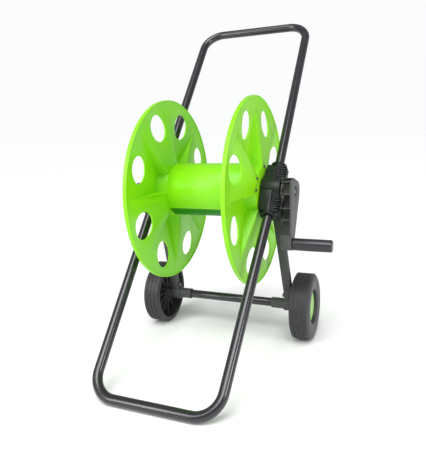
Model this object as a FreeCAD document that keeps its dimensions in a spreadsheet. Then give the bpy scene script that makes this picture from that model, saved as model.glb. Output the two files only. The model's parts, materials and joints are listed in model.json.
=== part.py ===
import FreeCAD, Part
import math
import os
import re
import Sketcher
from FreeCAD import Placement, Rotation, Vector

# A garden hose reel cart. +X points to the crank side, +Y to the rear, where the wheels and the
# push handle are, and +Z up. The origin is on the ground, straight under the reel's axis, midway
# between the side hubs. All lengths are in millimetres.

SIZES = [
    ("tube_od", 19.0, "frame tube, outside diameter"),
    ("tube_wall", 1.2, "frame tube, wall"),
    ("axis_z", 336.0, "height of the reel's axis"),
    ("hub_x", 132.4, "frame tubes' centre line at the reel's axis"),
    ("handle_run", 316.7, "reel axis back to the handle bar"),
    ("handle_rise", 372.0, "reel axis up to the handle bar"),
    ("handle_bar_x", 135.0, "half width between the handle's corners"),
    ("handle_bend", 46.0, "bend radius of the handle's corners"),
    ("stand_run", 297.4, "reel axis forward to the ground bar"),
    ("stand_bar_x", 119.0, "half width between the ground bar's corners"),
    ("stand_bend", 46.0, "bend radius of the ground bar's corners"),
    ("tube_gap", 20.0, "reel axis to the end of each frame tube"),
    ("socket_r", 14.5, "outside radius of a hub socket"),
    ("socket_reach", 62.0, "reel axis to a socket's mouth"),
    ("socket_bore", 9.55, "bore radius of a tube socket"),
    ("boss_r", 29.0, "radius of the hub's boss"),
    ("boss_in", 112.5, "inner face of the hub's boss"),
    ("boss_out", 150.0, "outer face of the hub's boss"),
    ("bush_r", 13.0, "radius of the bearing's seat"),
    ("shaft_r", 10.0, "radius of the reel's journals"),
    ("run_gap", 0.05, "radial clearance of a running fit"),
    ("axle_y", 84.0, "axle behind the reel's axis"),
    ("wheel_r", 71.5, "wheel radius, and the axle's height"),
    ("wheel_in", 154.0, "inner face of a wheel"),
    ("wheel_w", 43.0, "width of a wheel"),
    ("leg_foot_x", 141.0, "leg's centre line at the axle"),
    ("leg_wide", 19.0, "leg, across the cart"),
    ("leg_deep", 14.0, "leg, front to back"),
    ("foot_in", 100.0, "inner end of the foot's collar"),
    ("foot_out", 150.0, "outer end of the foot's collar"),
    ("foot_r", 11.8, "radius of the foot's collar"),
    ("stub_r", 6.0, "radius of the stub axle"),
    ("flange_r", 190.0, "radius of a flange"),
    ("flange_x", 96.5, "middle plane of a flange's rim"),
    ("flange_wall", 3.0, "thickness of a flange"),
    ("rim_w", 8.0, "width of a flange's rolled rim"),
    ("lobe_r", 161.0, "radius where the lobes start"),
    ("lobe_in", 14.0, "lobes' rise towards the drum, at the drum"),
    ("lobe_out", 11.0, "rise of the panels between the lobes"),
    ("hub_disc_r", 49.0, "radius of the flange's raised centre"),
    ("hole_ring", 143.0, "radius of the ring of holes"),
    ("hole_r", 27.5, "radius of a flange hole"),
    ("drum_r", 56.0, "radius of the winding drum"),
    ("drum_wall", 3.0, "wall of the drum"),
    ("drum_half", 80.9, "half the length of a drum shell"),
    ("bay_step", 1.6, "step from the upper shell in to the lower one"),
    ("screw_ring", 49.5, "radius of the ring of flange screws"),
    ("screw_r", 1.9, "radius of a flange screw"),
    ("screw_boss", 4.5, "radius of a screw boss"),
    ("arm_in", 154.4, "inner face of the crank arm"),
    ("arm_out", 176.0, "outer face of the crank arm"),
    ("arm_skin", 3.0, "wall of the crank arm"),
    ("crank_r", 104.0, "reel axis to the grip's axis"),
    ("arm_end_r", 12.8, "radius of the crank arm's end"),
    ("square_half", 6.5, "half the crank's square drive"),
    ("grip_r", 12.0, "radius of the grip"),
    ("grip_in", 176.6, "inner end of the grip"),
    ("grip_out", 252.5, "outer end of the grip"),
    ("pin_r", 4.1, "radius of the grip's pin"),
    ("nose_r", 7.9, "radius of a quick-connect spigot"),
    ("water_r", 4.5, "radius of the waterway"),
    ("seal_r", 8.0, "radius of the water spindle inside the inlet"),
    ("groove_r", 6.4, "radius at the floor of a seal's groove"),
    ("hose_r", 8.6, "outside radius of the hose inside the drum"),
    ("hose_bore", 6.55, "bore radius of the hose inside the drum"),
    ("hose_bend", 24.0, "bend radius of the hose inside the drum"),
    ("barb_r", 6.5, "radius of the fittings' ends inside that hose"),
    ("square_long", 18.6, "length of the crank's square drive"),
    ("bolt_r", 3.0, "radius of the crank bolt"),
    ("recess_r", 10.2, "radius of the crank bolt's recess"),
    ("recess_deep", 6.0, "depth of the crank bolt's recess"),
]
CRANK_TILT = 16.0        # the crank hangs this far forward of straight down, in degrees
FLANGE_TURN = 0.7        # the lobes' edges stand this far round from upright, in degrees
BAY_START = 218.0        # the drum's lower shell runs from this angle ...
BAY_END = 315.0          # ... to this one, counted from +Y towards +Z
OUTLET_ANGLE = 345.0     # the hose outlet leaves the drum here
SCREW_SPREAD = 13.5      # the two screws of a panel stand this far either side of its middle
SIDES = {"right": 1, "left": -1}

doc = FreeCAD.newDocument("hose_reel_cart")
sheet = doc.addObject("Spreadsheet::Sheet", "D")
for row, (alias, size, meaning) in enumerate(SIZES, start=1):
    sheet.set(f"A{row}", meaning)
    sheet.set(f"B{row}", str(size))
    sheet.setAlias(f"B{row}", alias)
doc.recompute()

nodes = {}


def linked(expr):
    """The expression with each size's alias written as a property of the sheet."""
    return re.sub(r"[a-z]+(?:_[a-z0-9]+)+", lambda word: "D." + word.group(0), str(expr))


def val(expr):
    """The expression's present value, from the sheet."""
    return float(sheet.evalExpression(str(expr)))


def node(name, thing):
    """Name an object as one of the cart's pieces."""
    thing.Label = name
    nodes[name] = thing
    return thing


# ---- sketches and features -------------------------------------------------------------------

def body(name, x="0", y="0", z="0", turn=Rotation()):
    """An empty PartDesign body at (x, y, z), turned."""
    new = doc.addObject("PartDesign::Body", name)
    new.Placement = Placement(Vector(val(x), val(y), val(z)), turn)
    for letter, place in (("x", x), ("y", y), ("z", z)):
        new.setExpression(f"Placement.Base.{letter}", linked(place))
    return new


def sketch(owner, role, name, at="0"):
    """A sketch on one of the body's own origin planes, lifted along the plane's normal."""
    plane = next(f for f in owner.Origin.OriginFeatures if f.Role == role)
    new = owner.newObject("Sketcher::SketchObject", name)
    new.AttachmentSupport = [(plane, "")]
    new.MapMode = "FlatFace"
    new.setExpression("AttachmentOffset.Base.z", linked(at))
    return new


def pin_point(sk, geometry, end, u, w):
    """Hold one point of a sketch at the expressions (u, w)."""
    for kind, expr in (("DistanceX", u), ("DistanceY", w)):
        index = sk.addConstraint(Sketcher.Constraint(kind, geometry, end, val(expr)))
        sk.setExpression(f"Constraints[{index}]", linked(expr))


def outline(sk, points):
    """A closed outline of straight edges through points given as expressions."""
    corners = [Vector(val(u), val(w), 0) for u, w in points]
    count = len(corners)
    first = sk.GeometryCount
    for i in range(count):
        sk.addGeometry(Part.LineSegment(corners[i], corners[(i + 1) % count]), False)
    for i in range(count):
        sk.addConstraint(Sketcher.Constraint("Coincident", first + i, 2, first + (i + 1) % count, 1))
    for i, (u, w) in enumerate(points):
        pin_point(sk, first + i, 1, u, w)


def circle(sk, radius, u="0", w="0"):
    """A full circle about (u, w)."""
    centre = Vector(val(u), val(w), 0)
    index = sk.addGeometry(Part.Circle(centre, Vector(0, 0, 1), val(radius)), False)
    held = sk.addConstraint(Sketcher.Constraint("Radius", index, val(radius)))
    sk.setExpression(f"Constraints[{held}]", linked(radius))
    pin_point(sk, index, 3, u, w)


def pad(owner, sk, name, length, reverse=False, middle=False):
    """Add the sketch's area, pulled along the sketch's normal."""
    feature = owner.newObject("PartDesign::Pad", name)
    feature.Profile = sk
    feature.setExpression("Length", linked(length))
    feature.Reversed = reverse
    if middle:
        feature.SideType = "Symmetric"
    return feature


def pocket(owner, sk, name, length, reverse=False):
    """Take the sketch's area away, pushed against the sketch's normal."""
    feature = owner.newObject("PartDesign::Pocket", name)
    feature.Profile = sk
    feature.setExpression("Length", linked(length))
    feature.Reversed = reverse
    return feature


def revolve(owner, sk, name, angle=360.0, reverse=False):
    """Turn the sketch's area about the sketch's horizontal axis."""
    feature = owner.newObject("PartDesign::Revolution", name)
    feature.Profile = sk
    feature.ReferenceAxis = (sk, ["H_Axis"])
    feature.Angle = angle
    feature.Reversed = reverse
    return feature


def around(owner, features, name, count):
    """Repeat features evenly round the body's X axis."""
    axis = next(f for f in owner.Origin.OriginFeatures if f.Role == "X_Axis")
    pattern = owner.newObject("PartDesign::PolarPattern", name)
    pattern.Originals = features
    pattern.Axis = (axis, [""])
    pattern.Angle = 360.0
    pattern.Occurrences = count
    owner.Tip = pattern
    return pattern


def turned(name, profile, side=1, y="0", z="0"):
    """A piece turned about a line along X. The profile's points are (place along X, radius)."""
    piece = body(name, y=y, z=z)
    sk = sketch(piece, "XZ_Plane", name + "_profile")
    outline(sk, [(f"{side}*({along})", radius) for along, radius in profile])
    revolve(piece, sk, name + "_turning")
    return piece


# ---- primitives and booleans -----------------------------------------------------------------

def facing(direction):
    """A turn that lays local Z along a direction and keeps local X as near +X as it can."""
    across = Vector(1, 0, 0)
    return Rotation(across, direction.cross(across), direction, "ZXY")


def cylinder(name, radius, height, base, direction):
    """A cylinder from a base point along a direction."""
    new = doc.addObject("Part::Cylinder", name)
    new.setExpression("Radius", linked(radius))
    new.setExpression("Height", linked(height))
    new.Placement = Placement(base, Rotation(Vector(0, 0, 1), direction))
    return new


def block(name, size, middle, turn):
    """A box of (length, width, height) about its middle."""
    new = doc.addObject("Part::Box", name)
    for letter, length in zip(("Length", "Width", "Height"), size):
        new.setExpression(letter, linked(length))
    half = Vector(*(val(length) / 2 for length in size))
    new.Placement = Placement(middle - turn.multVec(half), turn)
    return new


def joined(name, shapes):
    """All the shapes as one."""
    new = doc.addObject("Part::MultiFuse", name)
    new.Shapes = shapes
    return new


def minus(name, base, tools):
    """The base with each tool cut out of it in turn."""
    for count, tool in enumerate(tools, start=1):
        cut = doc.addObject("Part::Cut", name if count == len(tools) else f"{name}_cut_{count}")
        cut.Base = base
        cut.Tool = tool
        base = cut
    return base


def mirrored_to_left(name, source):
    """The same piece on the other side of the cart."""
    new = doc.addObject("Part::Mirroring", name)
    new.Source = source
    new.Normal = Vector(1, 0, 0)
    return node(name, new)


def screws(name, places, head_r, head_h, shank_r, shank_h):
    """A group of equal screws. Each place is the seat's middle and the way the head points."""
    parts = []
    for count, (seat, out) in enumerate(places):
        head = cylinder(f"{name}_head_{count}", head_r, head_h, seat, out)
        shank = cylinder(f"{name}_shank_{count}", shank_r, shank_h, seat, -out)
        parts += [head, shank]
    return node(name, joined(name, parts))


# ---- frame tubes -----------------------------------------------------------------------------

GROUND_BAR_DROP = "(axis_z - tube_od/2)"
HANDLE = ("handle_run", "handle_rise")
STAND = ("-stand_run", f"-{GROUND_BAR_DROP}")
LEG = ("axle_y", "(wheel_r - axis_z)")


def reach(arm):
    """The length of an arm's run and rise taken together."""
    return f"sqrt(({arm[0]})^2 + ({arm[1]})^2)"


def arm_point(arm, along, aside):
    """(y, z) from the reel's axis, so far along an arm and so far to its left."""
    run, rise = arm
    y = f"(({along})*({run}) - ({aside})*({rise}))/{reach(arm)}"
    z = f"(({along})*({rise}) + ({aside})*({run}))/{reach(arm)}"
    return y, z


def u_tube(name, arm, bar_x, bend):
    """A tube bent to a U. It lies in a plane through the reel's axis, with both ends at the hubs."""
    far = val(reach(arm))
    turn = Rotation(Vector(1, 0, 0), math.degrees(math.atan2(val(arm[1]), val(arm[0]))))
    tube = body(name, z="axis_z", turn=turn)

    lean = (val(bar_x) - val("hub_x")) / far
    start_x = f"hub_x + ({bar_x} - hub_x)*tube_gap/{reach(arm)}"
    along = Vector(lean, 1, 0).normalize()
    inward = Vector(-along.y, along.x, 0)
    corner = Vector(val(bar_x), far, 0)
    radius = val(bend)
    setback = radius / math.tan(math.acos(along.x) / 2)
    bend_start = corner - along * setback
    centre = bend_start + inward * radius
    sweep_from = math.atan2(-along.x, along.y)

    def mirrored(point):
        return Vector(-point.x, point.y, 0)

    bend_end = Vector(corner.x - setback, far, 0)
    start = Vector(val(start_x), val("tube_gap"), 0)
    up = Vector(0, 0, 1)
    quarter = math.pi / 2
    path = sketch(tube, "XY_Plane", name + "_path")
    path.addGeometry(Part.LineSegment(start, bend_start), False)
    path.addGeometry(Part.ArcOfCircle(Part.Circle(centre, up, radius), sweep_from, quarter), False)
    path.addGeometry(Part.LineSegment(bend_end, mirrored(bend_end)), False)
    far_arc = Part.ArcOfCircle(Part.Circle(mirrored(centre), up, radius), quarter, math.pi - sweep_from)
    path.addGeometry(far_arc, False)
    path.addGeometry(Part.LineSegment(mirrored(bend_start), mirrored(start)), False)
    for edge in range(4):
        path.addConstraint(Sketcher.Constraint("Tangent", edge, 2, edge + 1, 1))
    for arc in (1, 3):
        held = path.addConstraint(Sketcher.Constraint("Radius", arc, radius))
        path.setExpression(f"Constraints[{held}]", linked(bend))
    pin_point(path, 0, 1, start_x, "tube_gap")
    pin_point(path, 4, 2, f"-({start_x})", "tube_gap")
    path.addConstraint(Sketcher.Constraint("Horizontal", 2))
    held = path.addConstraint(Sketcher.Constraint("DistanceY", 2, 1, far))
    path.setExpression(f"Constraints[{held}]", linked(reach(arm)))

    section = sketch(tube, "XZ_Plane", name + "_section", "-tube_gap")
    circle(section, "tube_od/2", start_x)
    circle(section, "tube_od/2 - tube_wall", start_x)
    doc.recompute()
    pipe = tube.newObject("PartDesign::AdditivePipe", name + "_sweep")
    pipe.Profile = section
    pipe.Spine = (path, [f"Edge{edge}" for edge in range(1, 6)])
    return node(name, tube)


u_tube("handle_tube", HANDLE, "handle_bar_x", "handle_bend")
u_tube("stand_tube", STAND, "stand_bar_x", "stand_bend")


# ---- side hubs, with a socket for each tube and for the leg ------------------------------------

def hub_middle(side):
    return Vector(side * val("hub_x"), 0, val("axis_z"))


def arm_direction(side, arm, end_x):
    """Unit vector from a hub's middle to the far end of one of its arms."""
    end = Vector(side * val(end_x), val(arm[0]), val("axis_z") + val(arm[1]))
    return (end - hub_middle(side)).normalize()


def hub_arms(side):
    return {
        "handle": arm_direction(side, HANDLE, "handle_bar_x"),
        "stand": arm_direction(side, STAND, "stand_bar_x"),
        "leg": arm_direction(side, LEG, "leg_foot_x"),
    }


WEB_REACH = "socket_reach - 8"
WEB_POINTS = [
    arm_point(HANDLE, WEB_REACH, "socket_r"),
    ("-boss_r", "5"),
    arm_point(STAND, WEB_REACH, "-socket_r"),
    arm_point(STAND, WEB_REACH, "socket_r"),
    ("-9", "-39"),
    arm_point(LEG, WEB_REACH, "-(leg_deep/2 + 4)"),
    arm_point(LEG, WEB_REACH, "leg_deep/2 + 4"),
    ("boss_r + 5", "-4"),
    arm_point(HANDLE, WEB_REACH, "-socket_r"),
]
WEB_THICK = "22.4"
RING_PLACES = (33.0, 42.0, 58.5)     # ribs round a tube socket, by distance from the reel's axis
FIN_PLACES = (24.0, 29.6, 35.2, 40.8, 46.4, 52.0)
FIN_THICK = "2.2"
FIN_RISE = "19.5"
FIN_WIDE = "22"


def side_hub(name, side):
    """The moulding that joins handle, stand and leg, and carries the reel's bearing."""
    middle = hub_middle(side)
    out = Vector(side, 0, 0)
    boss_base = Vector(side * val("boss_in"), 0, val("axis_z"))
    solid = [cylinder(name + "_boss", "boss_r", "boss_out - boss_in", boss_base, out)]
    hollow = [cylinder(name + "_seat", "bush_r", "2*boss_out", boss_base - out * val("boss_out"), out)]

    web = body(name + "_web", x=f"{side}*(boss_in + 0.6 + {WEB_THICK}/2)", z="axis_z")
    web_sketch = sketch(web, "YZ_Plane", name + "_web_outline")
    outline(web_sketch, WEB_POINTS)
    pad(web, web_sketch, name + "_web_pad", WEB_THICK, middle=True)
    solid.append(web)

    for arm, direction in hub_arms(side).items():
        turn = facing(direction)
        if arm == "leg":
            wide = "leg_wide + 7"
            deep = "leg_deep + 7"
            centre = middle + direction * val("socket_reach/2")
            solid.append(block(f"{name}_{arm}", (wide, deep, "socket_reach"), centre, turn))
            slot = ("leg_wide + 0.1", "leg_deep + 0.1", "socket_reach")
            slot_middle = middle + direction * (val("tube_gap") + val("socket_reach/2"))
            hollow.append(block(f"{name}_{arm}_slot", slot, slot_middle, turn))
        else:
            solid.append(cylinder(f"{name}_{arm}", "socket_r", "socket_reach", middle, direction))
            bore_base = middle + direction * val("tube_gap")
            bore = cylinder(f"{name}_{arm}_bore", "socket_bore", "socket_reach", bore_base, direction)
            hollow.append(bore)
            for count, place in enumerate(RING_PLACES):
                base = middle + direction * place
                ring = cylinder(f"{name}_{arm}_ring_{count}", "socket_r + 1.8", "2.6", base, direction)
                solid.append(ring)
        fin_middle = out * (val(FIN_RISE) / 2)
        for count, place in enumerate(FIN_PLACES):
            fin = block(f"{name}_{arm}_fin_{count}", (FIN_RISE, FIN_WIDE, FIN_THICK),
                        middle + direction * place + fin_middle, turn)
            solid.append(fin)
        rail_length = FIN_PLACES[-1] - FIN_PLACES[0]
        rail_middle = middle + direction * (FIN_PLACES[0] + rail_length / 2) + fin_middle
        rail = block(f"{name}_{arm}_rail", (FIN_RISE, "2.4", str(rail_length)), rail_middle, turn)
        solid.append(rail)
    return node(name, minus(name, joined(name + "_solid", solid), hollow))


SOCKET_SCREW_AT = 55.2
mirrored_to_left("side_hub_left", side_hub("side_hub_right", 1))
for where, sign in SIDES.items():
    socket_screws = []
    for arm, direction in hub_arms(sign).items():
        if arm != "leg":
            outward = facing(direction).multVec(Vector(sign, 0, 0))
            seat = hub_middle(sign) + direction * SOCKET_SCREW_AT + outward * val("socket_r - 0.4")
            socket_screws.append((seat, outward))
    screws(f"hub_screws_{where}", socket_screws, "3.6", "2.6", "1.8", "socket_r - 5")
    node(f"bearing_bush_{where}", turned(f"bearing_bush_{where}", [
        ("boss_in - 2", "shaft_r + run_gap"),
        ("boss_in - 2", "bush_r + 4"),
        ("boss_in - 0.02", "bush_r + 4"),
        ("boss_in - 0.02", "bush_r - 0.02"),
        ("boss_out + 0.5", "bush_r - 0.02"),
        ("boss_out + 0.5", "shaft_r + run_gap"),
    ], sign, z="axis_z"))


# ---- legs, axle and wheels ---------------------------------------------------------------------

CLAMP_BOLT_LIFT = 23.0      # the foot's clamp bolt passes this far up the leg from the axle


def leg(name, side):
    """A moulded strut from the hub's socket down to a collar round the axle tube."""
    direction = hub_arms(side)["leg"]
    full = (Vector(side * val("leg_foot_x"), val("axle_y"), val("wheel_r")) - hub_middle(side)).Length
    strut_length = full - val("tube_gap") - 1.0
    strut_middle = hub_middle(side) + direction * (val("tube_gap") + 1.0 + strut_length / 2)
    strut_size = ("leg_wide", "leg_deep", str(strut_length))
    strut = block(name + "_strut", strut_size, strut_middle, facing(direction))
    strut_round = doc.addObject("Part::Fillet", name + "_strut_round")
    strut_round.Base = strut
    doc.recompute()
    long_edges = [i for i, edge in enumerate(strut.Shape.Edges, start=1) if edge.Length > strut_length - 1]
    strut_round.Edges = [(i, 3.0, 3.0) for i in long_edges]
    out = Vector(side, 0, 0)
    collar_base = Vector(side * val("foot_in"), val("axle_y"), val("wheel_r"))
    collar = cylinder(name + "_collar", "foot_r", "foot_out - foot_in", collar_base, out)
    cheek_base = Vector(side * (val("leg_foot_x") - val("leg_wide") / 2 - 3), val("axle_y"), val("wheel_r"))
    cheek = cylinder(name + "_cheek", "foot_r + 3", "leg_wide/2 + 12", cheek_base, out)
    bore = cylinder(name + "_bore", "tube_od/2 + 0.05", "3*foot_in", collar_base - out * val("foot_in"), out)
    lift = Vector(side * val("leg_foot_x"), val("axle_y"), val("wheel_r")) - direction * CLAMP_BOLT_LIFT
    bolt_hole = cylinder(name + "_bolt_hole", "2.6", "4*leg_wide", lift - out * val("2*leg_wide"), out)
    return node(name, minus(name, joined(name + "_solid", [strut_round, collar, cheek]), [bore, bolt_hole]))


node("axle_tube", turned("axle_tube", [
    ("-(foot_out + 0.5)", "tube_od/2 - tube_wall"),
    ("-(foot_out + 0.5)", "tube_od/2"),
    ("foot_out + 0.5", "tube_od/2"),
    ("foot_out + 0.5", "tube_od/2 - tube_wall"),
], y="axle_y", z="wheel_r"))

WHEEL_PROFILE = [       # (from the inner face, radius), bore first, then clockwise round the section
    ("30", "stub_r + run_gap"),
    ("30", "12"),
    ("24", "12"),
    ("24", "37"),
    ("38.5", "37"),
    ("40.5", "39"),
    ("wheel_w", "56"),
    ("wheel_w - 1", "64"),
    ("wheel_w - 4.5", "wheel_r - 2"),
    ("wheel_w - 9", "wheel_r"),
    ("27.5", "wheel_r"),
    ("26.5", "wheel_r - 3"),
    ("24.5", "wheel_r - 3"),
    ("23.5", "wheel_r"),
    ("17", "wheel_r"),
    ("16", "wheel_r - 3"),
    ("14", "wheel_r - 3"),
    ("13", "wheel_r"),
    ("6", "wheel_r"),
    ("2", "wheel_r - 1.7"),
    ("0", "66"),
    ("0", "61"),
    ("6", "60"),
    ("35", "61"),
    ("39", "56"),
    ("36.5", "41"),
    ("21", "40"),
    ("21", "12"),
    ("0", "12"),
    ("0", "stub_r + run_gap"),
]
CAP_PROFILE = [         # (from the wheel's inner face, radius) of a thin domed shell
    ("36.5", "0"),
    ("36.2", "14"),
    ("35.2", "26"),
    ("33.4", "33.5"),
    ("30", "36.9"),
    ("24.2", "36.9"),
    ("24.2", "34.7"),
    ("29.5", "34.7"),
    ("31.9", "32"),
    ("33.6", "25"),
    ("34.5", "13.5"),
    ("34.8", "0"),
]

for where, sign in SIDES.items():
    leg(f"leg_{where}", sign)
    clamp_middle = (Vector(sign * val("leg_foot_x"), val("axle_y"), val("wheel_r"))
                    - hub_arms(sign)["leg"] * CLAMP_BOLT_LIFT)
    inward = Vector(-sign, 0, 0)
    screws(f"leg_bolt_{where}", [(clamp_middle + inward * (val("leg_wide/2") + 0.6), inward)],
           "4.6", "3.4", "2.5", "leg_wide + 0.4")
    node(f"axle_plug_{where}", turned(f"axle_plug_{where}", [
        ("foot_out - 22", "0"),
        ("foot_out - 22", "tube_od/2 - tube_wall - 0.02"),
        ("foot_out + 0.52", "tube_od/2 - tube_wall - 0.02"),
        ("foot_out + 0.52", "tube_od/2"),
        ("wheel_in - 0.4", "tube_od/2"),
        ("wheel_in - 0.4", "stub_r"),
        ("wheel_in + 32.2", "stub_r"),
        ("wheel_in + 32.2", "0"),
    ], sign, y="axle_y", z="wheel_r"))
    node(f"axle_clip_{where}", turned(f"axle_clip_{where}", [
        ("wheel_in + 30.4", "stub_r + 0.02"),
        ("wheel_in + 30.4", "10"),
        ("wheel_in + 31.4", "10"),
        ("wheel_in + 31.4", "stub_r + 0.02"),
    ], sign, y="axle_y", z="wheel_r"))
    for name, profile in (("wheel", WHEEL_PROFILE), ("wheel_cap", CAP_PROFILE)):
        shifted = [(f"wheel_in + {along}", radius) for along, radius in profile]
        node(f"{name}_{where}", turned(f"{name}_{where}", shifted, sign, y="axle_y", z="wheel_r"))


# ---- reel flanges ------------------------------------------------------------------------------

FACE_IN = "flange_x - flange_wall/2"         # drum-side face of a flange's flat part
PANEL_SLOPE = "(lobe_out/(lobe_r - drum_r))"
FLOOR_R = "hub_disc_r - 3"
PANEL_MIDDLES = (68.2, 158.2, 248.2, 338.2)
SCREW_ANGLES = [middle + shift for middle in PANEL_MIDDLES for shift in (-SCREW_SPREAD, SCREW_SPREAD)]


def polar(radius, angle):
    """(y, z) expressions of a point at a radius and an angle from +Y."""
    return f"{radius}*cos({angle})", f"{radius}*sin({angle})"


def flange(name, side):
    """A thin disc whose middle is pressed into four lobes and four panels, with eight holes."""
    disc = body(name, z="axis_z", turn=Rotation(Vector(1, 0, 0), FLANGE_TURN))

    def section(part, points):
        sk = sketch(disc, "XZ_Plane", f"{name}_{part}_section")
        outline(sk, [(f"{side}*({along})", radius) for along, radius in points])
        return sk

    rim = section("rim", [
        (FACE_IN, "lobe_r - 2"),
        (FACE_IN, "flange_r - 3"),
        ("flange_x - rim_w/2", "flange_r - 2"),
        ("flange_x - rim_w/2", "flange_r - 0.6"),
        ("flange_x - rim_w/2 + 0.6", "flange_r"),
        ("flange_x + rim_w/2 - 0.6", "flange_r"),
        ("flange_x + rim_w/2", "flange_r - 0.6"),
        ("flange_x + rim_w/2", "flange_r - 2"),
        (f"{FACE_IN} + flange_wall", "flange_r - 3"),
        (f"{FACE_IN} + flange_wall", "lobe_r - 2"),
    ])
    revolve(disc, rim, name + "_rim")
    lobe_floor = f"{FACE_IN} - lobe_in"
    panel_floor = f"{FACE_IN} + {PANEL_SLOPE}*(lobe_r - ({FLOOR_R}))"
    lobe = revolve(disc, section("lobe", [
        (FACE_IN, "lobe_r"),
        (f"{FACE_IN} + flange_wall", "lobe_r"),
        (f"{lobe_floor} + flange_wall", "drum_r"),
        (f"{lobe_floor} + flange_wall", FLOOR_R),
        (lobe_floor, FLOOR_R),
        (lobe_floor, "drum_r"),
    ]), name + "_lobe", 45.0)
    collar_x = f"{FACE_IN} + lobe_out"
    panel = revolve(disc, section("panel", [
        (FACE_IN, "lobe_r"),
        (f"{FACE_IN} + flange_wall", "lobe_r"),
        (f"{panel_floor} + flange_wall", FLOOR_R),
        (panel_floor, FLOOR_R),
        (collar_x, "drum_r - drum_wall"),
        (lobe_floor, "drum_r - drum_wall"),
        (lobe_floor, "drum_r"),
        (collar_x, "drum_r"),
    ]), name + "_panel", 45.0, reverse=True)
    around(disc, [lobe, panel], name + "_sectors", 4)
    wall = pad(disc, section("wall", [
        (f"{FACE_IN} + 0.2", "lobe_r - 1"),
        (f"{FACE_IN} + flange_wall - 0.2", "lobe_r - 1"),
        (f"{panel_floor} + flange_wall - 0.1", f"{FLOOR_R} + 0.5"),
        (f"{lobe_floor} + 0.1", f"{FLOOR_R} + 0.5"),
        (f"{lobe_floor} + 0.1", "drum_r"),
    ]), name + "_wall", "flange_wall", middle=True)
    around(disc, [wall], name + "_walls", 8)
    centre = section("centre", [
        (lobe_floor, FLOOR_R),
        (f"{panel_floor} + flange_wall", FLOOR_R),
        (f"{panel_floor} + flange_wall", "shaft_r + 0.1"),
        (f"{panel_floor}", "shaft_r + 0.1"),
        (f"{panel_floor}", f"{FLOOR_R} - 0.1"),
        (lobe_floor, f"{FLOOR_R} - 0.1"),
    ])
    centre_wall = section("centre_wall", [
        (lobe_floor, FLOOR_R),
        (f"{panel_floor} + flange_wall", FLOOR_R),
        (f"{panel_floor} + flange_wall", "hub_disc_r"),
        (lobe_floor, "hub_disc_r"),
    ])
    revolve(disc, centre, name + "_centre")
    revolve(disc, centre_wall, name + "_centre_wall")

    boss_sketch = sketch(disc, "YZ_Plane", name + "_bosses", f"{side}*({lobe_floor})")
    hole_sketch = sketch(disc, "YZ_Plane", name + "_screw_holes", f"{side}*({panel_floor} + 2*flange_wall)")
    for angle in SCREW_ANGLES:
        y, z = polar("screw_ring", angle - FLANGE_TURN)
        circle(boss_sketch, "screw_boss", y, z)
        circle(hole_sketch, "screw_r + 0.05", y, z)
    pad(disc, boss_sketch, name + "_boss_pads", f"lobe_in + {PANEL_SLOPE}*100", reverse=side < 0)
    pocket(disc, hole_sketch, name + "_screw_bores", "lobe_in + lobe_out + 4*flange_wall", reverse=side < 0)

    window = sketch(disc, "YZ_Plane", name + "_window", f"{side}*(flange_x + 2*rim_w)")
    y, z = polar("hole_ring", 22.5)
    circle(window, "hole_r", y, z)
    opening = pocket(disc, window, name + "_hole", "5*rim_w", reverse=side < 0)
    around(disc, [opening], name + "_holes", 8)
    return node(name, disc)


# ---- winding drum ------------------------------------------------------------------------------

def drum_shell(name, start, end, radius):
    """Part of a cylinder wall from one angle to another, with screw bosses at both ends."""
    shell = body(name + "_body", z="axis_z", turn=Rotation(Vector(1, 0, 0), start - 90.0))
    wall = sketch(shell, "XZ_Plane", name + "_section")
    outline(wall, [
        ("-drum_half", f"{radius} - drum_wall"),
        ("-drum_half", radius),
        ("drum_half", radius),
        ("drum_half", f"{radius} - drum_wall"),
    ])
    revolve(shell, wall, name + "_wall", end - start)
    held = [angle for angle in SCREW_ANGLES if start < angle < end or start < angle + 360.0 < end
            or start < angle - 360.0 < end]
    for side in SIDES.values():
        boss_sketch = sketch(shell, "YZ_Plane", f"{name}_bosses_{side + 1}", f"{side}*drum_half")
        for angle in held:
            y, z = polar("screw_ring", angle - start + 90.0)
            circle(boss_sketch, "screw_boss - 0.5", y, z)
            circle(boss_sketch, "screw_r + 0.05", y, z)
        pad(shell, boss_sketch, f"{name}_boss_pads_{side + 1}", "30", reverse=side > 0)
    return shell


UP_START = BAY_END - 360.0
GAP_ANGLE = 0.15        # half the seam between the two shells, in degrees
outlet_way = Vector(0, math.cos(math.radians(OUTLET_ANGLE)), math.sin(math.radians(OUTLET_ANGLE)))
reel_middle = Vector(0, 0, val("axis_z"))

upper = drum_shell("drum_upper", UP_START + GAP_ANGLE, BAY_START - GAP_ANGLE, "drum_r")
outlet_hole = cylinder("drum_outlet_hole", "11.3", "2*drum_r", reel_middle, outlet_way)
node("drum_upper", minus("drum_upper", upper, [outlet_hole]))
lower = drum_shell("drum_lower", BAY_START + GAP_ANGLE, BAY_END - GAP_ANGLE, "drum_r - bay_step")
node("drum_lower", lower)

SCREW_SEAT = f"{FACE_IN} + {PANEL_SLOPE}*(lobe_r - ({FLOOR_R})) + flange_wall + 0.02"
for where, sign in SIDES.items():
    flange(f"flange_{where}", sign)
    flange_screws = []
    for angle in SCREW_ANGLES:
        y, z = (val(expr) for expr in polar("screw_ring", angle))
        seat = Vector(sign * val(SCREW_SEAT), y, val("axis_z") + z)
        flange_screws.append((seat, Vector(sign, 0, 0)))
    screws(f"flange_screws_{where}", flange_screws, "3.6", "2.0", "screw_r", "36")


# ---- reel journals, waterway and outlet --------------------------------------------------------

PLATE_OUT = "flange_x + 10.3"       # outer face of the journals' plates, inside the flange centres


def journal(name, side, rest):
    """A journal with a plate that sits inside the flange's centre. The rest of the profile follows."""
    start = [
        (f"{PLATE_OUT} - 3", "24"),
        (PLATE_OUT, "24"),
        (PLATE_OUT, "shaft_r"),
    ]
    return turned(name, start + rest, side, z="axis_z")


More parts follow.
